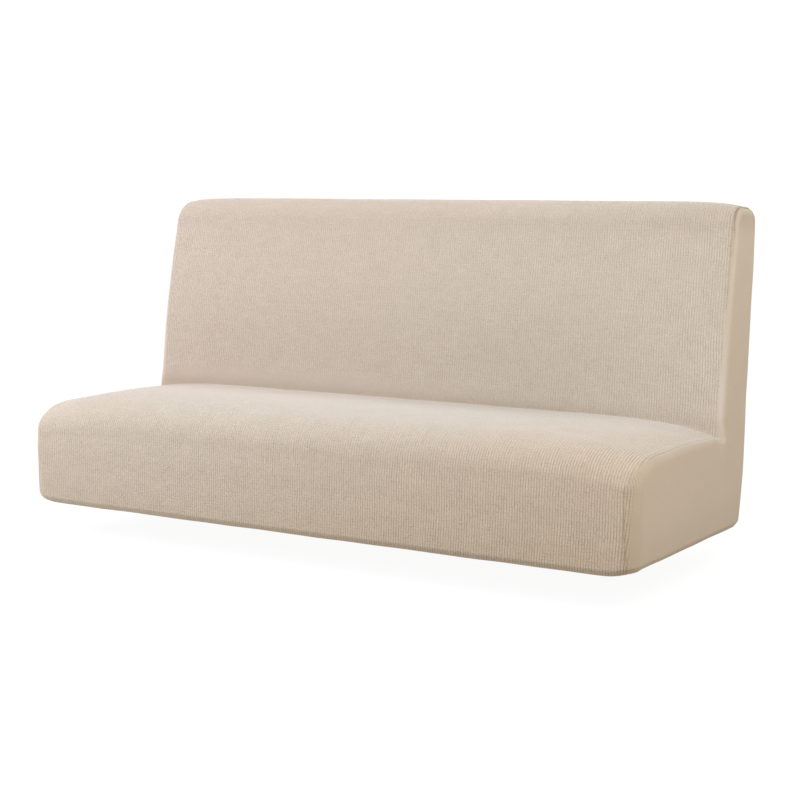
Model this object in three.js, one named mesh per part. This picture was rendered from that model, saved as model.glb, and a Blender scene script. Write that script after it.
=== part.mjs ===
// Stretch cover for an armless futon sofa, in the shape that the sofa gives it.
// One long main panel runs from the front hem over the seat, down into the crease, up the
// backrest, over its top and down to the rear hem. An L-shaped panel closes each end. The
// sofa is left out, so the cover is hollow and open below, inside its turned-under hem.
import * as THREE from 'three';

// ---- Driving dimensions, in millimetres ----
// While the cover is worked out, x runs across the sofa from its middle, y from the front
// face to the rear, and z up from the bottom of the hem.
const HALF_WIDTH = 940;
const SEAT_HEIGHT = 314;
const SEAT_DEPTH = 565;
const CREASE_HEIGHT = 292;
const BACK_HEIGHT = 861;
const BACK_TOP_FRONT = 654;
const BACK_TOP_REAR = 823;
const REAR_FOOT = 711;

const CLOTH = 2;
const SEAM_GAP = 0.4;

const HEM_FOLD = 16;
const HEM_FOLD_STEPS = 4;
const HEM_REACH = 15;
const CORNER_CORE = 6;

// How the ends differ from the middle.
const SEAT_END_DROP = 33;
const SEAT_DROP_POWER = 6.5;
const TOP_END_DROP = 11;
const TOP_DROP_POWER = 18;
const END_ROUND_POWER = 5;
const BACK_NARROWING = 20;
const NARROWING_POWER = 1.5;
const HEM_DRAW_IN = 5;
const DRAW_IN_HEIGHT = 150;
const FRONT_CORNER_LIFT = 13;
const REAR_CORNER_LIFT = 6;
const LIFT_SPREAD = 45;
const LIFT_HEIGHT = 120;

const ACROSS_STEPS = 16;
const CROWDING = 0.6;
const END_MARGIN = 70;
const MARGIN_STEPS = 3;
const EDGE_STEPS = 4;

// Corners of the side outline at mid width, from the front hem over the top to the rear hem.
// before, after: where the rounding starts ahead of the corner and ends past it; pull: how
// close it comes to the corner; endRound: what the ends add to both; drop, power: how far
// the corner sinks at the ends, and how late; swell: bulge of the run that leads to it;
// run, arc: steps along that run and round the corner; edge: radius between the outline and
// the end face; seam: distance of the end panel's seam from the end face, along the cloth.
// The last two are given where the rounding starts and where it ends.
const OUTLINE = [
  { y: 0, z: HEM_FOLD, before: 0, after: 0, pull: 1, endRound: 0, drop: 0, power: 1,
    swell: 0, run: 0, arc: 0, edge: [46, 46], seam: [46, 46] },
  { y: 3, z: 105, before: 0, after: 0, pull: 1, endRound: 0, drop: 0, power: 1,
    swell: 0, run: 3, arc: 0, edge: [44, 44], seam: [55, 55] },
  { y: 10, z: SEAT_HEIGHT, before: 47, after: 127, pull: 0.71, endRound: 25,
    drop: SEAT_END_DROP, power: SEAT_DROP_POWER,
    swell: 2, run: 4, arc: 6, edge: [40, 28], seam: [55, 22] },
  { y: SEAT_DEPTH - 50, z: SEAT_HEIGHT - 6, before: 30, after: 20, pull: 0.71, endRound: 0,
    drop: SEAT_END_DROP, power: SEAT_DROP_POWER,
    swell: 4, run: 4, arc: 3, edge: [20, 20], seam: [14, 12] },
  { y: SEAT_DEPTH, z: CREASE_HEIGHT, before: 5, after: 5, pull: 0.7, endRound: 0,
    drop: SEAT_END_DROP, power: SEAT_DROP_POWER,
    swell: 0, run: 1, arc: 2, edge: [20, 20], seam: [18, 22] },
  { y: SEAT_DEPTH + 7, z: CREASE_HEIGHT + 45, before: 0, after: 0, pull: 1, endRound: 0,
    drop: SEAT_END_DROP, power: SEAT_DROP_POWER,
    swell: 0, run: 1, arc: 0, edge: [21, 21], seam: [36, 36] },
  { y: BACK_TOP_FRONT, z: BACK_HEIGHT, before: 60, after: 60, pull: 0.69, endRound: 0,
    drop: TOP_END_DROP, power: TOP_DROP_POWER,
    swell: 8, run: 5, arc: 6, edge: [24, 26], seam: [17, 28] },
  { y: BACK_TOP_REAR, z: BACK_HEIGHT - 2, before: 48, after: 48, pull: 0.74, endRound: 0,
    drop: TOP_END_DROP, power: TOP_DROP_POWER,
    swell: 0, run: 1, arc: 6, edge: [30, 30], seam: [28, 30] },
  { y: REAR_FOOT, z: HEM_FOLD, before: 0, after: 0, pull: 1, endRound: 0, drop: 0, power: 1,
    swell: -6, run: 6, arc: 0, edge: [32, 32], seam: [34, 34] },
];
const TOP_RUN = 7;

// Steps along the sides of the end face: up the front, over the seat to the middle of the
// crease, up the back to the middle of its front rounding, over the top to the middle of
// its rear rounding, and from there down the rear. The hem takes up the rest.
const FRONT_STEPS = 7;
const SEAT_STEPS = 15;
const BACK_STEPS = 10;
const TOP_STEPS = 7;
const REAR_STEPS = 9;
const HEM_STEPS = SEAT_STEPS + BACK_STEPS - REAR_STEPS;

// ---- Side outline ----
// The steps of the outline: which corner each belongs to, whether it lies round the corner
// or on the run that leads to it, how far along, and the edge and seam there.
function outlineSteps() {
  const { lerp } = THREE.MathUtils;
  const first = OUTLINE[0];
  const steps = [{ corner: 1, round: false, t: 0, edge: first.edge[1], seam: first.seam[1] }];
  for (let corner = 1; corner < OUTLINE.length; corner += 1) {
    const from = OUTLINE[corner - 1];
    const to = OUTLINE[corner];
    for (let i = 1; i <= to.run; i += 1) {
      const t = i / to.run;
      const edge = lerp(from.edge[1], to.edge[0], t);
      const seam = lerp(from.seam[1], to.seam[0], t);
      steps.push({ corner, round: false, t, edge, seam });
    }
    for (let i = 1; i <= to.arc; i += 1) {
      const t = i / to.arc;
      const edge = lerp(...to.edge, t);
      const seam = lerp(...to.seam, t);
      steps.push({ corner, round: true, t, edge, seam });
    }
  }
  return steps;
}

function cornerAt(index, endness) {
  const row = OUTLINE[index];
  const extra = row.endRound * endness ** END_ROUND_POWER;
  const sink = row.drop * endness ** row.power;
  return {
    at: new THREE.Vector2(row.y, row.z - sink),
    before: row.before + extra,
    after: row.after + extra,
  };
}

function turnLeft(v) {
  return new THREE.Vector2(-v.y, v.x);
}

function runPoint(index, endness, t) {
  const from = cornerAt(index - 1, endness);
  const to = cornerAt(index, endness);
  const along = to.at.clone().sub(from.at).normalize();
  const begin = from.at.clone().addScaledVector(along, from.after);
  const end = to.at.clone().addScaledVector(along, -to.before);
  const bulge = OUTLINE[index].swell * Math.sin(Math.PI * t) ** 2;
  return begin.lerp(end, t).addScaledVector(turnLeft(along), bulge);
}

function roundPoint(index, endness, t) {
  const corner = cornerAt(index, endness);
  const begin = runPoint(index, endness, 1);
  const end = runPoint(index + 1, endness, 0);
  const a = (1 - t) ** 2;
  const b = 2 * OUTLINE[index].pull * t * (1 - t);
  const c = t ** 2;
  return begin.multiplyScalar(a)
    .addScaledVector(corner.at, b)
    .addScaledVector(end, c)
    .divideScalar(a + b + c);
}

// A point of the outline and its outward direction.
function outlinePoint(step, endness) {
  const pointAt = step.round ? roundPoint : runPoint;
  const nudge = 1e-4;
  const at = pointAt(step.corner, endness, step.t);
  const behind = pointAt(step.corner, endness, step.t - nudge);
  const ahead = pointAt(step.corner, endness, step.t + nudge);
  return { at, out: turnLeft(ahead.sub(behind).normalize()) };
}

// ---- Whole surface ----
// Shapes the plain sweep: the back narrows upwards, the elastic hem draws the ends in, and
// the hem rides up a little round the ends, most at the front corners.
function settle(point) {
  const depth = THREE.MathUtils.smoothstep(point.y, 0, SEAT_DEPTH);
  const rise = Math.max(point.z, 0) / BACK_HEIGHT;
  const narrowing = BACK_NARROWING * depth * rise ** NARROWING_POWER;
  const low = Math.max(1 - point.z / DRAW_IN_HEIGHT, 0);
  const x = point.x * (1 - (narrowing + HEM_DRAW_IN * low ** 2) / HALF_WIDTH);
  const away = (HALF_WIDTH - Math.abs(point.x)) / LIFT_SPREAD;
  const most = THREE.MathUtils.lerp(FRONT_CORNER_LIFT, REAR_CORNER_LIFT, point.y / REAR_FOOT);
  const fade = Math.max(1 - point.z / LIFT_HEIGHT, 0);
  return new THREE.Vector3(x, point.y, point.z + most * fade * Math.exp(-(away ** 2)));
}

function knot(point, out) {
  return { outer: settle(point), out };
}

// The hem below a point of the cloth: a quarter turn under, then a flat reach inwards.
function hemBelow(base, facing, reach) {
  const planOut = new THREE.Vector3(facing.x, facing.y, 0).normalize();
  const knots = [];
  for (let i = 1; i <= HEM_FOLD_STEPS; i += 1) {
    const angle = (i / HEM_FOLD_STEPS) * (Math.PI / 2);
    const at = base.clone().addScaledVector(planOut, -HEM_FOLD * (1 - Math.cos(angle)));
    at.z -= HEM_FOLD * Math.sin(angle);
    const out = planOut.clone().multiplyScalar(Math.cos(angle));
    out.z = -Math.sin(angle);
    knots.push(knot(at, out));
  }
  const edge = base.clone().addScaledVector(planOut, -(HEM_FOLD + reach));
  edge.z -= HEM_FOLD;
  knots.push(knot(edge, new THREE.Vector3(0, 0, -1)));
  return knots;
}

const STEPS = outlineSteps();
const QUARTER = Math.PI / 2;

// A point of the cover at one step of the outline, at a distance from the end face that is
// measured along the cloth: first round the edge, then over the flat. shift moves it further
// that way, but leaves its facing as it was.
function coverPoint(side, step, distance, shift) {
  const turn = Math.max(QUARTER - distance / step.edge, 0);
  const flat = Math.max(distance - step.edge * QUARTER, 0);
  const core = HALF_WIDTH - step.edge;
  const { at, out } = outlinePoint(step, Math.max(1 - flat / core, 0));
  at.addScaledVector(out, shift * Math.sin(turn) - step.edge * (1 - Math.cos(turn)));
  const x = side * (core - flat - shift * Math.cos(turn) + step.edge * Math.sin(turn));
  return {
    position: new THREE.Vector3(x, at.x, at.y),
    out: new THREE.Vector3(
      side * Math.sin(turn),
      out.x * Math.cos(turn),
      out.y * Math.cos(turn),
    ),
    reach: turn > 0 ? Math.min(HEM_REACH, step.edge - HEM_FOLD - CORNER_CORE) : HEM_REACH,
  };
}

// One section of the cover, from the front hem's inner edge to the rear hem's.
function sectionAt(side, distanceAt, shift) {
  const points = STEPS.map((step) => coverPoint(side, step, distanceAt(step), shift));
  const first = points[0];
  const last = points[points.length - 1];
  return [
    ...hemBelow(first.position, first.out, first.reach).reverse(),
    ...points.map((point) => knot(point.position, point.out)),
    ...hemBelow(last.position, last.out, last.reach),
  ];
}

// ---- Main panel ----
function straightSection(x) {
  const beyond = HALF_WIDTH - Math.abs(x);
  return sectionAt(Math.sign(x) || 1, (step) => beyond + step.edge * (QUARTER - 1), 0);
}

// Sections between the straight ones and the seam, which wanders.
function marginSections(side) {
  const sections = [];
  for (let i = 1; i <= MARGIN_STEPS; i += 1) {
    const distanceAt = (step) => {
      const begin = END_MARGIN + step.edge * (QUARTER - 1);
      return THREE.MathUtils.lerp(begin, step.seam, i / MARGIN_STEPS);
    };
    sections.push(sectionAt(side, distanceAt, i === MARGIN_STEPS ? SEAM_GAP / 2 : 0));
  }
  return sections;
}

function mainPanelSections() {
  const straight = [];
  for (let i = 0; i <= ACROSS_STEPS; i += 1) {
    const even = (2 * i) / ACROSS_STEPS - 1;
    const across = THREE.MathUtils.lerp(even, Math.sin(even * QUARTER), CROWDING);
    straight.push(straightSection(across * (HALF_WIDTH - END_MARGIN)));
  }
  return [...marginSections(-1).reverse(), ...straight, ...marginSections(1)];
}

// ---- End panels ----
// Sections round the edge, from the seam to the flat of the end face.
function edgeSections(side) {
  const sections = [];
  for (let i = 0; i <= EDGE_STEPS; i += 1) {
    const share = 1 - i / EDGE_STEPS;
    sections.push(sectionAt(side, (step) => step.seam * share, i === 0 ? -SEAM_GAP / 2 : 0));
  }
  return sections;
}

// Sections of the end's own hem, from the front corner to the rear corner.
function endHemSections(side, lastEdge) {
  const hemKnots = HEM_FOLD_STEPS + 1;
  const front = lastEdge.slice(0, hemKnots + 1).reverse();
  const rear = lastEdge.slice(-(hemKnots + 1));
  const facing = new THREE.Vector3(side, 0, 0);
  const beginY = OUTLINE[0].edge[1];
  const endY = REAR_FOOT - OUTLINE[OUTLINE.length - 1].edge[1];
  const sections = [front];
  for (let i = 1; i < HEM_STEPS; i += 1) {
    const y = THREE.MathUtils.lerp(beginY, endY, i / HEM_STEPS);
    const base = new THREE.Vector3(side * HALF_WIDTH, y, HEM_FOLD);
    sections.push([knot(base, facing), ...hemBelow(base, facing, HEM_REACH)]);
  }
  sections.push(rear);
  return sections;
}

// The flat of the end face, filled between its four sides.
function endFaceSections(side, lastEdge, hemSections) {
  const frontFoot = HEM_FOLD_STEPS + 1;
  const frontTop = frontFoot + FRONT_STEPS;
  const backTop = frontTop + SEAT_STEPS + BACK_STEPS;
  const rearTop = backTop + TOP_STEPS;
  const position = (item) => item.outer;
  const rise = lastEdge.slice(frontFoot, frontTop + 1).map(position);
  const upper = lastEdge.slice(frontTop, backTop + 1).map(position);
  const top = lastEdge.slice(backTop, rearTop + 1).map(position).reverse();
  const hem = hemSections.map((section) => section[0].outer);
  const rear = lastEdge.slice(rearTop, rearTop + REAR_STEPS).map(position).reverse();
  const lower = [...hem, ...rear];
  const end = upper.length - 1;
  const out = new THREE.Vector3(side, 0, 0);
  return upper.map((above, i) => {
    const u = i / end;
    return rise.map((_, j) => {
      const v = j / FRONT_STEPS;
      const lengthwise = lower[i].clone().lerp(above, v);
      const crosswise = rise[j].clone().lerp(top[j], u);
      const below = lower[0].clone().lerp(lower[end], u);
      const over = upper[0].clone().lerp(upper[end], u);
      return { outer: lengthwise.add(crosswise).sub(below.lerp(over, v)), out };
    });
  });
}

function endPanelGrids(side) {
  const edges = edgeSections(side);
  const lastEdge = edges[EDGE_STEPS];
  const hem = endHemSections(side, lastEdge);
  return [edges, hem, endFaceSections(side, lastEdge, hem)];
}

// ---- Closed sheets ----
// Joins grids of knots into one surface and gives it the thickness of the cloth.
function sheetGeometry(grids) {
  const outer = [];
  const inner = [];
  const known = new Map();
  const triangles = [];
  const idOf = (item) => {
    const key = item.outer.toArray().map((value) => value.toFixed(3)).join(' ');
    if (!known.has(key)) {
      known.set(key, outer.length);
      outer.push(item.outer);
      inner.push(item.outer.clone().addScaledVector(item.out, -CLOTH));
    }
    return known.get(key);
  };
  grids.forEach((grid) => {
    const flip = facesInwards(grid);
    for (let i = 0; i + 1 < grid.length; i += 1) {
      for (let j = 0; j + 1 < grid[i].length; j += 1) {
        const a = idOf(grid[i][j]);
        const b = idOf(grid[i + 1][j]);
        const c = idOf(grid[i + 1][j + 1]);
        const d = idOf(grid[i][j + 1]);
        triangles.push(flip ? [a, c, b] : [a, b, c]);
        triangles.push(flip ? [a, d, c] : [a, c, d]);
      }
    }
  });
  const count = outer.length;
  const back = triangles.map(([a, b, c]) => [a + count, c + count, b + count]);
  const rim = openEdges(triangles).flatMap(([a, b]) => rimWall(a, b, count));
  const geometry = new THREE.BufferGeometry().setFromPoints([...outer, ...inner]);
  geometry.setIndex([...triangles, ...back, ...rim].flat());
  geometry.computeVertexNormals();
  return geometry;
}

function facesInwards(grid) {
  const here = grid[1][1];
  const one = grid[2][1].outer.clone().sub(here.outer);
  const other = grid[1][2].outer.clone().sub(here.outer);
  return one.cross(other).dot(here.out) < 0;
}

function openEdges(triangles) {
  const edges = new Map();
  triangles.forEach(([a, b, c]) => {
    [[a, b], [b, c], [c, a]].forEach(([from, to]) => edges.set(`${from} ${to}`, [from, to]));
  });
  return [...edges.values()].filter(([from, to]) => !edges.has(`${to} ${from}`));
}

// The wall over one open edge. It is split from the earlier knot's outer face, so that the
// two walls that face each other along a seam stay parallel.
function rimWall(a, b, count) {
  if (a < b) {
    return [[b, a, b + count], [a, a + count, b + count]];
  }
  return [[b, a, a + count], [b, a + count, b + count]];
}

// ---- The three pieces ----
function clothPiece(name, grids) {
  const material = new THREE.MeshStandardMaterial({
    color: 0xcdbfae,
    roughness: 0.95,
    metalness: 0,
  });
  const mesh = new THREE.Mesh(sheetGeometry(grids), material);
  mesh.name = name;
  return mesh;
}

// The origin is under the middle of the top, where the back of the sofa carries the cover.
const top = runPoint(TOP_RUN, 0, 0.5);

const cover = new THREE.Group();
cover.add(clothPiece('main_panel', [mainPanelSections()]));
cover.add(clothPiece('end_panel_left', endPanelGrids(-1)));
cover.add(clothPiece('end_panel_right', endPanelGrids(1)));
cover.position.set(0, -top.x, CLOTH - top.y);

export default cover;
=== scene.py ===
"""Looks of the stretch futon cover: three sheets of knitted cloth in a white studio.

The cloth is worked out in millimetres, with x across the sofa from its middle, y from the
front face to the rear and z up from the bottom of the hem, on the same outline as the CAD
solids. It becomes metres in the row's frame when a mesh is made.
"""
import math
from collections import namedtuple

import bpy
import numpy as np
from mathutils import Euler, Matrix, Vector


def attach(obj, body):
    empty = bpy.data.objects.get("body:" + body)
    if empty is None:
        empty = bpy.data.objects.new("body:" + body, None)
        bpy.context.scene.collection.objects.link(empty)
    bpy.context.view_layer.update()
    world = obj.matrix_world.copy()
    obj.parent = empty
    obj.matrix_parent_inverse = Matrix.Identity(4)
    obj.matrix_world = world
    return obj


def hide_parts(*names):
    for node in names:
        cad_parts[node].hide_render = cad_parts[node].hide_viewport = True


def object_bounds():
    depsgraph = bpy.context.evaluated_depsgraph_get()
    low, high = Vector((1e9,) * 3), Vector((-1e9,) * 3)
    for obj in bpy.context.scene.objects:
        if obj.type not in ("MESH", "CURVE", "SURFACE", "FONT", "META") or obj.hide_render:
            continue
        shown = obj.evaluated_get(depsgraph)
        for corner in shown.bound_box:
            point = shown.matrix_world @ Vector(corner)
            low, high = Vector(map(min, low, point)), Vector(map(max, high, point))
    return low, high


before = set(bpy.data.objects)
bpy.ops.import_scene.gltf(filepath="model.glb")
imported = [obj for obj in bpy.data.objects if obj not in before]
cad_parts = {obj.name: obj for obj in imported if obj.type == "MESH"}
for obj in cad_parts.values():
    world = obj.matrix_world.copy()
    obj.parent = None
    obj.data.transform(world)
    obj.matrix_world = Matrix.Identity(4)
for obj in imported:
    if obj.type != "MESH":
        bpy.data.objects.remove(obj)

cad_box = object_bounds()

# ---- Driving dimensions of the cloth, in millimetres ----
MM = 0.001
HALF_WIDTH = 940
SEAT_HEIGHT = 314
SEAT_DEPTH = 565
CREASE_HEIGHT = 292
BACK_HEIGHT = 861
BACK_TOP_FRONT = 654
BACK_TOP_REAR = 823
REAR_FOOT = 711

CLOTH = 2

HEM_FOLD = 16
HEM_REACH = 15
CORNER_CORE = 6

SEAT_END_DROP = 33
SEAT_DROP_POWER = 6.5
TOP_END_DROP = 11
TOP_DROP_POWER = 18
END_ROUND_POWER = 5
BACK_NARROWING = 20
NARROWING_POWER = 1.5
HEM_DRAW_IN = 5
DRAW_IN_HEIGHT = 150
FRONT_CORNER_LIFT = 13
REAR_CORNER_LIFT = 6
LIFT_SPREAD = 45
LIFT_HEIGHT = 120
END_MARGIN = 70

# Corners of the side outline at mid width, from the front hem over the top to the rear hem.
# before, after: where the rounding starts ahead of the corner and ends past it; pull: how
# close it comes to the corner; end_round: what the ends add to each of the two; drop, power:
# how far the corner sinks at the ends, and how late; swell: bulge of the run that leads to it;
# run, arc: steps along that run and round the corner; edge: radius between the outline and the
# end face; seam: distance of the seam from the end face, along the cloth; groove: how deep the
# seam lies. The last three are given where the rounding starts and where it ends.
Corner = namedtuple(
    "Corner", "y z before after pull end_round drop power swell run arc edge seam groove"
)
SEAT_DROP = (SEAT_END_DROP, SEAT_DROP_POWER)
CREASE_DROP = (SEAT_END_DROP, 10)
TOP_DROP = (TOP_END_DROP, TOP_DROP_POWER)
NO_DROP = (0, 1)
SAME = (0, 0)
OUTLINE = [
    Corner(0, HEM_FOLD, 0, 0, 1, SAME, *NO_DROP, 0, 0, 0, (46, 46), (46, 46), (0.3, 0.3)),
    Corner(3, 105, 0, 0, 1, SAME, *NO_DROP, 0, 12, 0, (44, 44), (55, 55), (0.6, 0.6)),
    Corner(10, SEAT_HEIGHT, 92, 116, 0.8, (-12, 24), *SEAT_DROP, 2, 15, 16,
           (40, 28), (55, 22), (0.6, 0)),
    Corner(SEAT_DEPTH - 50, SEAT_HEIGHT - 10, 30, 20, 0.71, SAME, *CREASE_DROP, 4, 30, 6,
           (20, 20), (14, 12), (0, 0)),
    Corner(SEAT_DEPTH, CREASE_HEIGHT, 5, 5, 0.7, SAME, *CREASE_DROP, 0, 3, 4,
           (20, 20), (18, 22), (0, 0)),
    Corner(SEAT_DEPTH + 7, CREASE_HEIGHT + 45, 0, 0, 1, SAME, *CREASE_DROP, 0, 4, 0,
           (21, 21), (36, 36), (0, 0)),
    Corner(BACK_TOP_FRONT, BACK_HEIGHT, 60, 60, 0.69, SAME, *TOP_DROP, 8, 40, 18,
           (24, 26), (17, 28), (0.85, 1)),
    Corner(BACK_TOP_REAR, BACK_HEIGHT - 2, 48, 48, 0.74, SAME, *TOP_DROP, 0, 9, 18,
           (30, 30), (28, 30), (0.9, 0.9)),
    Corner(REAR_FOOT, HEM_FOLD, 0, 0, 1, SAME, *NO_DROP, -6, 56, 0, (32, 32), (34, 34), (0.4, 0.4)),
]

# How late along a run a seam's depth changes, and how rows crowd towards the hems.
GROOVE_LATENESS = 8
FOOT_CROWDING = 1.6
REAR_CROWDING = 1.25

# Columns of the main panel between its margins and in each margin, columns of the end panels
# between the seam and the end face, and how columns crowd towards the seam.
STRAIGHT_COLUMNS = 129
MARGIN_COLUMNS = 13
EDGE_COLUMNS = 15
SEAM_CROWDING = 1.8

# Steps along the sides of the end face, as in the solids: up the front, over the seat and up
# the back to the middle of its front rounding, and over the top. The hem takes up the rest.
FRONT_STEPS = OUTLINE[1].run + OUTLINE[2].run
TOP_STEPS = OUTLINE[6].arc // 2 + OUTLINE[7].run + OUTLINE[7].arc // 2
UPPER_STEPS = sum(corner.run + corner.arc for corner in OUTLINE[3:6])
UPPER_STEPS += OUTLINE[2].arc + OUTLINE[6].run + OUTLINE[6].arc // 2
REAR_STEPS = OUTLINE[7].arc // 2 + OUTLINE[8].run
HEM_STEPS = UPPER_STEPS - REAR_STEPS

# The hem's profile below the cloth's foot: angles of its quarter turn, then shares of its reach.
HEM_TURNS = [math.radians(angle) for angle in range(9, 91, 9)]
HEM_REACHES = [0.5, 1]
HEM_ROWS = len(HEM_TURNS) + len(HEM_REACHES)

QUARTER = math.pi / 2

# A grid of the cloth's points: where they are, which way is out, where they lie on the flat
# cloth, how far they are from the seam and how deep it is there, and how strong the ribs show.
Grid = namedtuple("Grid", "position out cloth seam groove ribs")

# A row of the side outline: the corner it belongs to, whether it lies round the corner or on
# the run that leads there, how far along that, its corner's values there, and its distance
# from the front hem's foot.
Row = namedtuple("Row", "corner round t edge seam groove along")


def lerp(a, b, t):
    return a + (b - a) * t


def smooth(value, low, high):
    t = np.clip((value - low) / (high - low), 0, 1)
    return t * t * (3 - 2 * t)


def bell(value, middle, width):
    return np.exp(-(((value - middle) / width) ** 2))


def unit(v):
    return v / np.linalg.norm(v, axis=-1, keepdims=True)


def turn_left(v):
    return np.stack([-v[..., 1], v[..., 0]], -1)


# ---- Side outline ----
def corner_at(index, endness):
    corner = OUTLINE[index]
    end_share = endness**END_ROUND_POWER
    before = corner.before + corner.end_round[0] * end_share
    after = corner.after + corner.end_round[1] * end_share
    height = corner.z - corner.drop * endness**corner.power
    at = np.stack([np.full_like(height, corner.y), height], -1)
    return at, before[:, None], after[:, None]


def run_point(index, endness, t):
    start, _, after = corner_at(index - 1, endness)
    stop, before, _ = corner_at(index, endness)
    along = unit(stop - start)
    bulge = OUTLINE[index].swell * math.sin(math.pi * t) ** 2
    return lerp(start + along * after, stop - along * before, t) + turn_left(along) * bulge


def round_point(index, endness, t):
    at, _, _ = corner_at(index, endness)
    begin = run_point(index, endness, 1)
    end = run_point(index + 1, endness, 0)
    a = (1 - t) ** 2
    b = 2 * OUTLINE[index].pull * t * (1 - t)
    c = t**2
    return (begin * a + at * b + end * c) / (a + b + c)


def outline_point(row, endness):
    point_at = round_point if row.round else run_point
    nudge = 1e-4
    ahead = point_at(row.corner, endness, row.t + nudge)
    behind = point_at(row.corner, endness, row.t - nudge)
    return point_at(row.corner, endness, row.t), turn_left(unit(ahead - behind))


def outline_rows():
    first = OUTLINE[0]
    rows = [Row(1, False, 0, first.edge[1], first.seam[1], first.groove[1], 0)]
    for index in range(1, len(OUTLINE)):
        begin, end = OUTLINE[index - 1], OUTLINE[index]
        for i in range(1, end.run + 1):
            t = i / end.run
            if index == 1:
                t = t**FOOT_CROWDING
            if index == len(OUTLINE) - 1:
                t = 1 - (1 - t) ** REAR_CROWDING
            edge = lerp(begin.edge[1], end.edge[0], t)
            seam = lerp(begin.seam[1], end.seam[0], t)
            late = t**GROOVE_LATENESS if index > 1 else 1 - (1 - t) ** GROOVE_LATENESS
            groove = lerp(begin.groove[1], end.groove[0], late)
            rows.append(Row(index, False, t, edge, seam, groove, 0))
        for i in range(1, end.arc + 1):
            t = i / end.arc
            rows.append(Row(index, True, t, *(lerp(*pair, t) for pair in end[-3:]), 0))
    middle = np.zeros(1)
    points = np.concatenate([outline_point(row, middle)[0] for row in rows])
    steps = np.linalg.norm(np.diff(points, axis=0), axis=1)
    along = np.concatenate([[0], np.cumsum(steps)])
    return [row._replace(along=value) for row, value in zip(rows, along)]


ROWS = outline_rows()


# ---- Whole surface ----
def hem_lift(x, y):
    """How far the hem is lifted, most of all at the ends."""
    lift = lerp(FRONT_CORNER_LIFT, REAR_CORNER_LIFT, y / REAR_FOOT)
    return lift * bell(np.abs(x), HALF_WIDTH, LIFT_SPREAD)


def above_hem(point):
    """How high a settled point lies above the hem's lowest line."""
    x, y, z = np.moveaxis(point, -1, 0)
    lift = hem_lift(x, y)
    return (z - lift) / (1 - lift / LIFT_HEIGHT)


def settle(point):
    """Narrows the back upwards, draws the ends in at the hem and lifts the hem at the corners."""
    x, y, z = np.moveaxis(point, -1, 0)
    narrowing = BACK_NARROWING * smooth(y, 0, SEAT_DEPTH)
    narrowing = narrowing * (np.maximum(z, 0) / BACK_HEIGHT) ** NARROWING_POWER
    low = np.maximum(1 - z / DRAW_IN_HEIGHT, 0)
    drawn = x * (1 - (narrowing + HEM_DRAW_IN * low**2) / HALF_WIDTH)
    lift = hem_lift(x, y) * np.maximum(1 - z / LIFT_HEIGHT, 0)
    return np.stack([drawn, y, z + lift], -1)


def cover_points(side, row, distance):
    """A row of the cover: points at a distance from the end face, measured along the cloth."""
    turn = np.maximum(QUARTER - distance / row.edge, 0)
    flat = np.maximum(distance - row.edge * QUARTER, 0)
    core = HALF_WIDTH - row.edge
    at, out = outline_point(row, np.maximum(1 - flat / core, 0))
    at = at - out * (row.edge * (1 - np.cos(turn)))[:, None]
    x = side * (core - flat + row.edge * np.sin(turn))
    facing = np.column_stack([side * np.sin(turn), out * np.cos(turn)[:, None]])
    return np.column_stack([x, at]), facing, turn, out


def hem_below(base, facing, reach):
    """Points and facings of the hem below the cloth's foot: a quarter turn, then a flat reach."""
    plan_out = unit(facing * [1, 1, 0])
    down = np.array([0, 0, -1.0])
    points, outs = [], []
    for angle in HEM_TURNS:
        points.append(base - plan_out * HEM_FOLD * (1 - math.cos(angle))
                      + down * HEM_FOLD * math.sin(angle))
        outs.append(plan_out * math.cos(angle) + down * math.sin(angle))
    for share in HEM_REACHES:
        inwards = (HEM_FOLD + reach * share)[..., None]
        points.append(base - plan_out * inwards + down * HEM_FOLD)
        outs.append(np.broadcast_to(down, base.shape))
    return points, outs


def hem_along(reach):
    """How far each row of the hem lies below the foot, along the cloth."""
    turned = [HEM_FOLD * angle for angle in HEM_TURNS]
    return turned + [HEM_FOLD * QUARTER + reach * share for share in HEM_REACHES]


def sweep(side, distance_at, cloth_at, ribs_at):
    """A grid of the cover, from the front hem's inner edge over the top to the rear hem's."""
    rows, turns = [], []
    for row in ROWS:
        distance = distance_at(row)
        position, facing, turn, out = cover_points(side, row, distance)
        cloth = cloth_at(row, distance, side, out)
        depth = np.full(len(distance), row.groove)
        from_seam = distance - row.seam
        rows.append(Grid(position, facing, cloth, from_seam, depth, ribs_at(row, distance)))
        turns.append(turn)
    hems = []
    for end, onwards in ((0, -1), (-1, 1)):
        foot = rows[end]
        corner_reach = min(HEM_REACH, ROWS[end].edge - HEM_FOLD - CORNER_CORE)
        reach = lerp(HEM_REACH, corner_reach, np.sin(turns[end]))
        points, outs = hem_below(foot.position, foot.out, reach)
        clothes = [foot.cloth + [0, onwards * along] for along in hem_along(HEM_REACH)]
        hems.append([foot._replace(position=point, out=out, cloth=cloth)
                     for point, out, cloth in zip(points, outs, clothes)])
    rows = hems[0][::-1] + rows + hems[1]
    grid = Grid(*(np.stack(fields, 1) for fields in zip(*rows)))
    return grid._replace(position=settle(grid.position))


def crowded(count):
    """Shares from 0 to 1, closer together near 0."""
    return (np.arange(count + 1) / count) ** SEAM_CROWDING


# ---- Main panel ----
# How strong the ribs show at the left and at the right: they are flattened where the cloth is
# stretched over the seat and the back. NEAR_RIBS is where left turns into right. The seat and
# the back take over on these stretches of the outline, and the seat's ribs fade by its seams.
FRONT_RIBS = (0.5, 0.74)
SEAT_RIBS = (0.08, 0.6)
BACK_RIBS = (0.42, 0.66)
NEAR_RIBS = (-400, 750)
EDGE_FADE = (2, 12)
SEAT_RIBS_BEGIN = (380, 560)
BACK_RIBS_BEGIN = (820, 900)


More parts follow.
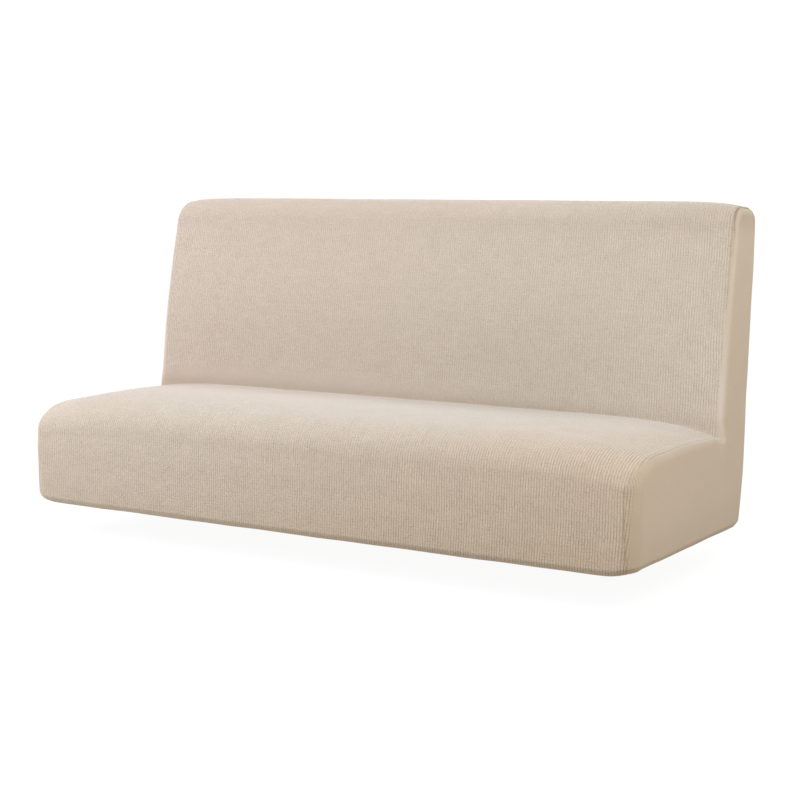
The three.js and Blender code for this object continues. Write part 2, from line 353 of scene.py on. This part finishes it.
def main_panel_grid():
    reach = HALF_WIDTH - END_MARGIN
    straight = np.linspace(-reach, reach, STRAIGHT_COLUMNS)
    margin = 1 - crowded(MARGIN_COLUMNS)
    share = np.concatenate([margin[:-1], np.zeros(len(straight)), margin[:-1][::-1]])
    x = np.concatenate([np.full(MARGIN_COLUMNS, -reach), straight, np.full(MARGIN_COLUMNS, reach)])
    side = np.where(x < 0, -1.0, 1.0)

    def distance_at(row):
        beyond = HALF_WIDTH - np.abs(x) + row.edge * (QUARTER - 1)
        return lerp(beyond, row.seam, share)

    def cloth_at(row, distance, side, out):
        across = side * (HALF_WIDTH + row.edge * (QUARTER - 1) - distance)
        return np.stack([across, np.full(len(distance), row.along)], -1)

    def ribs_at(row, distance):
        near = smooth(x, *NEAR_RIBS)
        front = lerp(*FRONT_RIBS, near)
        back = lerp(*BACK_RIBS, near)
        seat = lerp(*SEAT_RIBS, near) * smooth(distance - row.seam, *EDGE_FADE)
        seat_begins = smooth(row.along, *SEAT_RIBS_BEGIN)
        back_begins = smooth(row.along, *BACK_RIBS_BEGIN)
        return lerp(lerp(front, seat, seat_begins), back, back_begins)

    return sweep(side, distance_at, cloth_at, ribs_at)


# ---- End panels ----
# The end panels are stretched smooth, apart from a ribbed strip beside the front's seam. It is
# narrow at the hem, widens upwards and fades out over this stretch of the outline.
FRONT_RIBS_END = (235, 300)
STRIP_WIDTHS = (8, 32)
STRIP_RIBS = 0.6
RIB_LEAN = 0.1


def end_edge_grid(side):
    share = 1 - crowded(EDGE_COLUMNS)
    sides = np.full(len(share), float(side))

    def cloth_at(row, distance, side, out):
        flat_edge = cover_points(side, row, np.zeros(len(distance)))[0]
        at = flat_edge[:, 1:] + out * distance[:, None]
        return at - at[:, 1:] * [RIB_LEAN, 0]

    def ribs_at(row, distance):
        front = STRIP_RIBS * (1 - smooth(row.along, *FRONT_RIBS_END))
        width = lerp(*STRIP_WIDTHS, min(row.along / FRONT_RIBS_END[0], 1))
        return front * (1 - smooth(row.seam - distance, width / 2, width))

    grid = sweep(sides, lambda row: row.seam * share, cloth_at, ribs_at)
    return grid._replace(seam=-grid.seam)


def row_of(grid, index, begin, end):
    """A stretch of one column of a grid."""
    return Grid(*(field[index, begin:end] for field in grid))


def end_hem_grid(side, last):
    """The end's own hem, from the front corner to the rear corner."""
    facing = np.tile([float(side), 0, 0], (HEM_STEPS - 1, 1))
    begin = OUTLINE[0].edge[1]
    end = REAR_FOOT - OUTLINE[-1].edge[1]
    y = lerp(begin, end, np.arange(1, HEM_STEPS) / HEM_STEPS)
    base = np.stack([np.full_like(y, side * HALF_WIDTH), y, np.full_like(y, HEM_FOLD)], -1)
    points, outs = hem_below(base, facing, np.full_like(y, HEM_REACH))
    position = settle(np.stack([base, *points], 1))
    out = np.stack([facing, *outs], 1)
    below = np.array([0, *hem_along(HEM_REACH)])
    cloth = np.stack(np.broadcast_arrays(y[:, None], HEM_FOLD - below), -1)
    cloth = cloth - cloth[..., 1:] * [RIB_LEAN, 0]
    plain = np.zeros(position.shape[:2])
    away_from_seams = plain + SEAT_DEPTH
    middle = Grid(position, out, cloth, away_from_seams, plain, plain)
    front = Grid(*(field[::-1][None] for field in row_of(last, 0, 0, HEM_ROWS + 1)))
    rear = Grid(*(field[None] for field in row_of(last, 0, -HEM_ROWS - 1, None)))
    return Grid(*(np.concatenate(parts) for parts in zip(front, middle, rear)))


def end_face_grid(last, hem):
    """The flat of the end face, filled between its four sides."""
    front_top = HEM_ROWS + FRONT_STEPS
    back_top = front_top + UPPER_STEPS
    rear_top = back_top + TOP_STEPS
    steps = np.diff(last.position[0, HEM_ROWS:front_top + 1], axis=0)
    across = np.cumsum(np.linalg.norm(steps, axis=1))
    across = np.concatenate([[0], across / across[-1]])
    fields = []
    for k, field in enumerate(last):
        line = field[0]
        rise = line[HEM_ROWS:front_top + 1]
        upper = line[front_top:back_top + 1]
        top = line[back_top:rear_top + 1][::-1]
        rear = line[rear_top:rear_top + REAR_STEPS][::-1]
        lower = np.concatenate([hem[k][:, 0], rear])
        u = np.linspace(0, 1, UPPER_STEPS + 1)[:, None]
        v = across[None]
        if line.ndim > 1:
            u, v = u[..., None], v[..., None]
        lengthwise = lerp(lower[:, None], upper[:, None], v)
        crosswise = lerp(rise[None], top[None], u)
        below = lerp(lower[0], lower[-1], u)
        over = lerp(upper[0], upper[-1], u)
        fields.append(lengthwise + crosswise - lerp(below, over, v))
    return Grid(*fields)


def end_panel_grids(side):
    edge = end_edge_grid(side)
    last = Grid(*(field[-1:] for field in edge))
    hem = end_hem_grid(side, last)
    return [edge, hem, end_face_grid(last, hem)]


# ---- Relief: what the cloth does on top of its plain form, in millimetres outwards ----
GROOVE_POWER = 3
SEAM_DEPTH = 1.6
SEAM_WIDTH = 4
RIDGE_HEIGHT = 0.4
RIDGE_AT = 8
RIDGE_WIDTH = 4
HEM_LINE = 11
HEM_LINE_DEPTH = 1.2
HEM_LINE_WIDTH = 3
HEM_RIM = 3
HEM_RIM_HEIGHT = 0.7
HEM_RIM_WIDTH = 2.5
WAVES = [  # wavelength along x, y and z, phase and height
    (410, 330, 270, 0.3, 0.35),
    (230, -190, 310, 1.7, 0.25),
    (-150, 260, 140, 4.1, 0.15),
]


def relief(grid):
    x, y, z = np.moveaxis(grid.position, -1, 0)
    above = above_hem(grid.position)
    away = np.maximum(grid.seam, 0)
    roll = np.maximum(1 - away / SEAM_WIDTH, 0) ** 2
    ridge = bell(away, RIDGE_AT, RIDGE_WIDTH)
    height = grid.groove**GROOVE_POWER * (RIDGE_HEIGHT * ridge - SEAM_DEPTH * roll)
    height -= HEM_LINE_DEPTH * bell(above, HEM_LINE, HEM_LINE_WIDTH)
    height += HEM_RIM_HEIGHT * bell(above, HEM_RIM, HEM_RIM_WIDTH)
    for along_x, along_y, along_z, phase, size in WAVES:
        angle = 2 * math.pi * (x / along_x + y / along_y + z / along_z) + phase
        height += size * np.sin(angle)
    return height


# ---- Painted shade and light ----
# Painted shade, where the cloth's colour is darkened as a share of it: along the seams, in a line
# above the hem's rim (at the left end and from the middle on), towards the hem, in the crease, on
# the seat towards the crease, and over the top (away from the lit end and at it).
SEAM_SHADE = 0.35
SEAM_SHADE_WIDTH = 2.6
HEM_SHADES = (0.11, 0.19)
HEM_SHADE_AT = 9
HEM_SHADE_WIDTH = 5.5
FOOT_SHADE = 0.08
FOOT_SHADE_TOP = 150
CREASE_SHADE = 0.14
CREASE_SHADE_WIDTH = 24
SEAT_SHADE = 0.32
SEAT_SHADE_FROM = 240
SEAT_SHADE_TOP = SEAT_HEIGHT + 20
TOP_SHADES = (0.03, 0.13)
TOP_SHADE_RISE = (BACK_HEIGHT - 100, BACK_HEIGHT - 30)

# Painted light, where the cloth's colour is lightened: on the end faces, more so higher up, on the
# smooth strip beside the back's seams, and low on the back near the lit end.
END_FACE_LIGHT = 0.06
STRIP_LIGHT = 0.09
STRIP_AT = 10
STRIP_WIDTH = 8
STRIP_FROM = SEAT_DEPTH - 60
SMOOTH_UNDER = 0.2
LOW_LIGHT = 0.09
LOW_LIGHT_FROM = SEAT_DEPTH - 30
LOW_LIGHT_FADE = (400, 700)

# The lit end is the right one, from this x on. This share of the crease's painted shade is left
# there.
LIT_END_FROM = 300
LIT_END_CREASE = 0.4

# How squarely the cloth has to face some way to start to count as facing it, and to count fully.
FACING = (0.5, 0.9)


def painted_light_and_shade(grid):
    """Painted light and shade: the share of the cloth's colour that shows at each point."""
    x, y, z = np.moveaxis(grid.position, -1, 0)
    sideways, forwards, upwards = np.moveaxis(grid.out * [1, -1, 1], -1, 0)
    above = above_hem(grid.position)
    lit_end = smooth(x, LIT_END_FROM, HALF_WIDTH)

    seam = SEAM_SHADE * grid.groove**2 * bell(grid.seam, 0, SEAM_SHADE_WIDTH)
    hem = lerp(*HEM_SHADES, smooth(x, -HALF_WIDTH, 0))
    hem = hem * bell(above, HEM_SHADE_AT, HEM_SHADE_WIDTH)
    foot = FOOT_SHADE * (1 - smooth(z, 0, FOOT_SHADE_TOP))
    from_crease = np.hypot(y - SEAT_DEPTH, z - CREASE_HEIGHT)
    crease = CREASE_SHADE * lerp(1, LIT_END_CREASE, lit_end)
    crease = crease * bell(from_crease, 0, CREASE_SHADE_WIDTH)
    seat = SEAT_SHADE * (1 - lit_end) * smooth(y, SEAT_SHADE_FROM, SEAT_DEPTH)
    seat = seat * smooth(upwards, *FACING) * (z < SEAT_SHADE_TOP)
    top = lerp(*TOP_SHADES, lit_end) * smooth(z, *TOP_SHADE_RISE)

    end_face = END_FACE_LIGHT * smooth(z, SEAT_HEIGHT, BACK_HEIGHT)
    end_face = end_face * smooth(np.abs(sideways), *FACING)
    strip = STRIP_LIGHT * (1 - smooth(grid.ribs, 0, SMOOTH_UNDER))
    strip = strip * smooth(y, STRIP_FROM, SEAT_DEPTH) * bell(grid.seam, STRIP_AT, STRIP_WIDTH)
    low = LOW_LIGHT * lit_end * (1 - smooth(z, *LOW_LIGHT_FADE))
    low = low * smooth(forwards, *FACING) * smooth(y, LOW_LIGHT_FROM, SEAT_DEPTH)

    painted_darkening = (1 - seam) * (1 - hem) * (1 - foot) * (1 - crease) * (1 - seat)
    return painted_darkening * (1 + end_face + strip + low - top)


# ---- Meshes ----
SHARP_FROM = math.radians(60)
SAME_POINT_DECIMALS = 3


def origin():
    """The row frame's place of the cloth's own origin: front face, middle, bottom of the hem."""
    low, _ = cad_box
    return np.array([0, low.y, low.z])


def faces_of(ids, outward):
    a, b = ids[:-1, :-1].ravel(), ids[1:, :-1].ravel()
    c, d = ids[1:, 1:].ravel(), ids[:-1, 1:].ravel()
    return np.stack([a, b, c, d] if outward else [a, d, c, b], -1)


def faces_outward(grid):
    here = grid.position[1, 1]
    one, other = grid.position[2, 1] - here, grid.position[1, 2] - here
    return np.dot(np.cross(one, other), grid.out[1, 1]) > 0


def open_edges(faces):
    """The edges that only one face has."""
    edges = np.concatenate([faces[:, [k, (k + 1) % 4]] for k in range(4)])
    size = faces.max() + 1
    there = edges[:, 0] * size + edges[:, 1]
    back = edges[:, 1] * size + edges[:, 0]
    return edges[~np.isin(there, back)]


def cloth_mesh(name, grids):
    """One closed sheet of cloth from grids that share their edges."""
    flat = [np.concatenate([field.reshape(-1, *field.shape[2:]) for field in fields])
            for fields in zip(*grids)]
    places = flat[0].round(SAME_POINT_DECIMALS)
    _, first, ids = np.unique(places, axis=0, return_index=True, return_inverse=True)
    ids = ids.ravel()
    points = Grid(*(field[first] for field in flat))
    faces, start = [], 0
    for grid in grids:
        shape = grid.position.shape[:2]
        count = shape[0] * shape[1]
        faces.append(faces_of(ids[start:start + count].reshape(shape), faces_outward(grid)))
        start += count
    faces = np.concatenate(faces)
    outer = points.position + points.out * relief(points)[:, None]
    inner = outer - points.out * CLOTH
    count = len(outer)
    a, b = open_edges(faces).T
    rim = np.stack([b, a, a + count, b + count], -1)
    everything = np.concatenate([faces, faces[:, ::-1] + count, rim])
    mesh = bpy.data.meshes.new(name)
    vertices = np.concatenate([outer, inner]) * MM + origin()
    mesh.from_pydata(vertices.tolist(), [], everything.tolist())
    mesh.polygons.foreach_set("use_smooth", np.ones(len(everything), bool))
    corners = np.zeros(len(mesh.loops), int)
    mesh.loops.foreach_get("vertex_index", corners)
    uv = mesh.uv_layers.new(name="cloth")
    uv.data.foreach_set("uv", (points.cloth * MM)[corners % count].astype(np.float32).ravel())
    # The painted light and shade are kept on the mesh as a point attribute.
    for label, values in (("ribs", points.ribs), ("painted_light_and_shade", painted_light_and_shade(points))):
        attribute = mesh.attributes.new(label, "FLOAT", "POINT")
        attribute.data.foreach_set("value", np.tile(values, 2).astype(np.float32))
    mesh.validate()
    mesh.set_sharp_from_angle(angle=SHARP_FROM)
    mesh.update()
    return mesh


# ---- Materials ----
# How far apart the knit's ribs and rows are, in metres, and how much of each wave is flank.
RIB_PITCH = 0.0072
ROW_PITCH = 0.0078
RIB_FLANK = 0.75
ROW_FLANK = 0.6
# The grooves' darker colour is painted shade in the recesses between the knit's squares.
RIB_COLOUR = (0.337, 0.277, 0.2)
SHADED_GROOVE_COLOUR = (0.196, 0.15, 0.103)

# Between the two colours, the one that cloth without ribs has.
PLAIN_SHARE = 0.72

# Powers of the painted shade in red, green and blue: where shade is painted, the cloth is warmer.
SHADE_DEPTHS = (1, 1.2, 1.6)

# Unevenness of the knit. Each is a noise over the cloth: its scale and detail, the stretch of
# its values that counts, and what that becomes. The ribs and rows stray from their places by so
# many metres, the squares are stronger in patches and the grooves between the rows deeper in
# dashes, and the yarn and a broad cloudiness change the tone.
BROAD_STRAY = (9, 2, 0, 1, -0.0022, 0.0022)
NARROW_STRAY = (70, 2, 0, 1, -0.0014, 0.0014)
ROW_STRAY = (130, 1, 0, 1, -0.004, 0.004)
PATCHES = (26, 3, 0.35, 0.65, 0.7, 1)
DASHES = (60, 3, 0.4, 0.65, 0.15, 0.7)
CLOUDINESS = (14, 3, 0.2, 0.8, 0.985, 1.015)
YARN_SCALE = 900
YARN_TONE = (0.2, 0.8, 0.95, 1.05)

# Grain of the tone: scale and detail of a noise, and how far it swings the tone where no ribs
# show and where they show. It goes from the one to the other over this stretch of the ribs.
SPECKS = (170, 3, 0.08, 0.42)
STREAKS = (58, 2, 0.02, 0.11)
STREAK_STRETCH = (0.3, 1, 1)
GRAIN_RIBS = (0.1, 0.4)

# Depth of the yarn and of the squares, in metres.
YARN_BUMP = 0.0003
SQUARE_BUMP = 0.0016
ROUGHNESS = (0.82, 0.96)
SPECULAR = 0.2
SHEEN_ROUGHNESS = 0.5
SHEEN_TINT = (1.0, 0.95, 0.89, 1)


class Nodes:
    """Short forms for building a material's nodes."""

    def __init__(self, name):
        self.material = bpy.data.materials.new(name)
        self.material.use_nodes = True
        self.tree = self.material.node_tree
        self.shader = self.tree.nodes["Principled BSDF"]

    def link(self, value, socket):
        if isinstance(value, bpy.types.NodeSocket):
            self.tree.links.new(value, socket)
        else:
            socket.default_value = value

    def math(self, operation, *values):
        node = self.tree.nodes.new("ShaderNodeMath")
        node.operation = operation
        for value, socket in zip(values, node.inputs):
            self.link(value, socket)
        return node.outputs[0]

    def noise(self, vector, scale, detail):
        node = self.tree.nodes.new("ShaderNodeTexNoise")
        node.noise_dimensions = "2D"
        self.link(vector, node.inputs["Vector"])
        node.inputs["Scale"].default_value = scale
        node.inputs["Detail"].default_value = detail
        return node.outputs["Fac"]

    def attribute(self, name):
        node = self.tree.nodes.new("ShaderNodeAttribute")
        node.attribute_name = name
        return node.outputs["Fac"]

    def remap(self, value, low, high, new_low, new_high, eased=False):
        node = self.tree.nodes.new("ShaderNodeMapRange")
        node.interpolation_type = "SMOOTHSTEP" if eased else "LINEAR"
        for socket, item in zip(node.inputs, (value, low, high, new_low, new_high)):
            self.link(item, socket)
        return node.outputs[0]

    def mix(self, share, a, b, blend="MIX"):
        node = self.tree.nodes.new("ShaderNodeMix")
        node.data_type = "RGBA"
        node.blend_type = blend
        self.link(share, node.inputs[0])
        for colour, socket in zip((a, b), node.inputs[6:8]):
            self.link(colour if isinstance(colour, bpy.types.NodeSocket) else (*colour, 1), socket)
        return node.outputs[2]

    def bump(self, height, distance, normal=None):
        node = self.tree.nodes.new("ShaderNodeBump")
        node.inputs["Distance"].default_value = distance
        self.link(height, node.inputs["Height"])
        if normal is not None:
            self.link(normal, node.inputs["Normal"])
        return node.outputs[0]


def knit_material(name, sheen, lightness):
    """Stretch knit in small raised squares, whose lengthwise grooves are the deeper ones. The
    squares are uneven, and fade where the cloth's ribs do."""
    n = Nodes(name)
    uv = n.tree.nodes.new("ShaderNodeUVMap")
    uv.uv_map = "cloth"
    cloth = uv.outputs[0]
    split = n.tree.nodes.new("ShaderNodeSeparateXYZ")
    n.link(cloth, split.inputs[0])
    across, along = split.outputs[0], split.outputs[1]
    ribs, painted_shading = n.attribute("ribs"), n.attribute("painted_light_and_shade")

    def uneven(scale, detail, *ranges):
        return n.remap(n.noise(cloth, scale, detail), *ranges)

    def wave(coordinate, pitch, stray, flank):
        angle = n.math("MULTIPLY", n.math("ADD", coordinate, stray), math.pi / pitch)
        return n.remap(n.math("ABSOLUTE", n.math("SINE", angle)), 0, flank, 0, 1, eased=True)

    def grain(coordinate, scale, detail, faint, strong, tone):
        swing = n.remap(ribs, *GRAIN_RIBS, faint, strong)
        centred = n.math("SUBTRACT", n.noise(coordinate, scale, detail), 0.5)
        return n.math("MULTIPLY_ADD", centred, swing, tone)

    rib_stray = n.math("ADD", uneven(*BROAD_STRAY), uneven(*NARROW_STRAY))
    row_stray = n.math("ADD", rib_stray, uneven(*ROW_STRAY))
    rib = wave(across, RIB_PITCH, rib_stray, RIB_FLANK)
    row_groove = n.math("SUBTRACT", 1, wave(along, ROW_PITCH, row_stray, ROW_FLANK))
    row = n.math("SUBTRACT", 1, n.math("MULTIPLY", uneven(*DASHES), row_groove))
    square = n.math("SUBTRACT", n.math("MULTIPLY", rib, row), PLAIN_SHARE)
    square = n.math("MULTIPLY", square, uneven(*PATCHES))
    shown = n.math("MULTIPLY_ADD", square, ribs, PLAIN_SHARE)

    yarn = n.noise(cloth, YARN_SCALE, 2)
    lengthened = n.tree.nodes.new("ShaderNodeVectorMath")
    lengthened.operation = "MULTIPLY"
    n.link(cloth, lengthened.inputs[0])
    lengthened.inputs[1].default_value = STREAK_STRETCH
    tone = n.math("MULTIPLY", n.remap(yarn, *YARN_TONE), uneven(*CLOUDINESS))
    tone = n.math("MULTIPLY", tone, grain(cloth, *SPECKS, 1))
    tone = n.math("MULTIPLY", tone, grain(lengthened.outputs[0], *STREAKS, lightness))

    # The painted light and shade multiply the knit's colour.
    shaded = n.tree.nodes.new("ShaderNodeCombineColor")
    for socket, depth in zip(shaded.inputs, SHADE_DEPTHS):
        n.link(n.math("MULTIPLY", tone, n.math("POWER", painted_shading, depth)), socket)
    colour = n.mix(shown, SHADED_GROOVE_COLOUR, RIB_COLOUR)
    n.link(n.mix(1.0, colour, shaded.outputs[0], "MULTIPLY"), n.shader.inputs["Base Color"])
    n.link(n.remap(yarn, 0, 1, *ROUGHNESS), n.shader.inputs["Roughness"])
    fine = n.bump(yarn, YARN_BUMP)
    n.link(n.bump(shown, SQUARE_BUMP, fine), n.shader.inputs["Normal"])
    n.shader.inputs["Specular IOR Level"].default_value = SPECULAR
    n.shader.inputs["Sheen Weight"].default_value = sheen
    n.shader.inputs["Sheen Roughness"].default_value = SHEEN_ROUGHNESS
    n.shader.inputs["Sheen Tint"].default_value = SHEEN_TINT
    return n.material


def add_piece(name, grids, material, node):
    piece = bpy.data.objects.new(name, cloth_mesh(name, grids))
    bpy.context.scene.collection.objects.link(piece)
    piece.data.materials.append(material)
    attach(piece, "root")
    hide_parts(node)
    return piece


# ---- Camera ----
# Its place is in metres from the cloth's own origin, its turns are in degrees.
CAMERA_FROM_FRONT = Vector((2.45497, -3.48941, 0.92016))
CAMERA_YAW = 31.624
CAMERA_PITCH = -7.532
LENS = 75.327


def add_camera():
    data = bpy.data.cameras.new("camera")
    data.lens = LENS
    camera = bpy.data.objects.new("camera", data)
    camera.location = Vector(origin()) + CAMERA_FROM_FRONT
    turn = (math.radians(90 + CAMERA_PITCH), 0, math.radians(CAMERA_YAW))
    camera.rotation_euler = Euler(turn)
    bpy.context.scene.collection.objects.link(camera)
    bpy.context.scene.camera = camera


# ---- Studio ----
SKY_COLOUR = (1.12, 1.05, 1, 1)
FLOOR_BELOW_HEM = 0.09
FLOOR_SIZE = 60
FLOOR_COLOUR = (0.06, 0.06, 0.06, 1)
FLOOR_GLOW = 0.94

# Soft lights, in the row's frame: where they are and what they point at, their size in metres,
# their power in watts and their spread in degrees.
Softbox = namedtuple("Softbox", "place target size power spread colour")
SOFTBOXES = {
    "seat_softbox": Softbox(
        (0.1, -0.85, 1.3), (0, -0.62, -0.5), (2.4, 0.3), 2.6, 40, (0.1, 0.5, 0.9)),
    "back_softbox": Softbox(
        (0, -1.8, 1.4), (0, 0, 0), (2.4, 0.8), 5.8, 60, (0.3, 0.54, 1)),
    "front_left_softbox": Softbox(
        (-3.5, -3, 1.2), (0, -0.4, -0.5), (2.5, 2), 300, 180, (0.787, 0.816, 1)),
    "right_softbox": Softbox(
        (2.6, -1.6, 1.6), (0.6, -0.3, -0.4), (1.5, 1.5), 33, 120, (1, 0.96, 0.95)),
}


def add_sky():
    world = bpy.data.worlds.new("studio_sky")
    world.use_nodes = True
    world.node_tree.nodes["Background"].inputs["Color"].default_value = SKY_COLOUR
    bpy.context.scene.world = world


def add_floor():
    n = Nodes("studio_white")
    n.shader.inputs["Base Color"].default_value = FLOOR_COLOUR
    n.shader.inputs["Roughness"].default_value = 1.0
    n.shader.inputs["Specular IOR Level"].default_value = 0.0
    n.shader.inputs["Emission Color"].default_value = (1, 1, 1, 1)
    n.shader.inputs["Emission Strength"].default_value = FLOOR_GLOW
    mesh = bpy.data.meshes.new("floor")
    half = FLOOR_SIZE / 2
    z = cad_box[0].z - FLOOR_BELOW_HEM
    corners = [(-half, -half, z), (half, -half, z), (half, half, z), (-half, half, z)]
    mesh.from_pydata(corners, [], [(0, 1, 2, 3)])
    mesh.materials.append(n.material)
    floor = bpy.data.objects.new("floor", mesh)
    bpy.context.scene.collection.objects.link(floor)


def add_softbox(name, box):
    data = bpy.data.lights.new(name, "AREA")
    data.shape = "RECTANGLE"
    data.size, data.size_y = box.size
    data.energy = box.power
    data.spread = math.radians(box.spread)
    data.color = box.colour
    light = bpy.data.objects.new(name, data)
    light.location = box.place
    towards = Vector(box.target) - Vector(box.place)
    light.rotation_euler = towards.to_track_quat("-Z", "Y").to_euler()
    bpy.context.scene.collection.objects.link(light)


# ---- The scene ----
# Sheen and lightness of the knit: the end panels are stretched smoother.
MAIN_KNIT = (0.31, 1.01)
END_KNIT = (0.13, 1.04)

add_camera()
main_knit = knit_material("cover_knit", *MAIN_KNIT)
add_piece("main_panel_cloth", [main_panel_grid()], main_knit, "main_panel")
end_knit = knit_material("end_knit", *END_KNIT)
for side, word in ((-1, "left"), (1, "right")):
    node = f"end_panel_{word}"
    add_piece(f"{node}_cloth", end_panel_grids(side), end_knit, node)
add_floor()
add_sky()
for name, box in SOFTBOXES.items():
    add_softbox(name, box)
bpy.context.scene.view_settings.view_transform = "Standard"
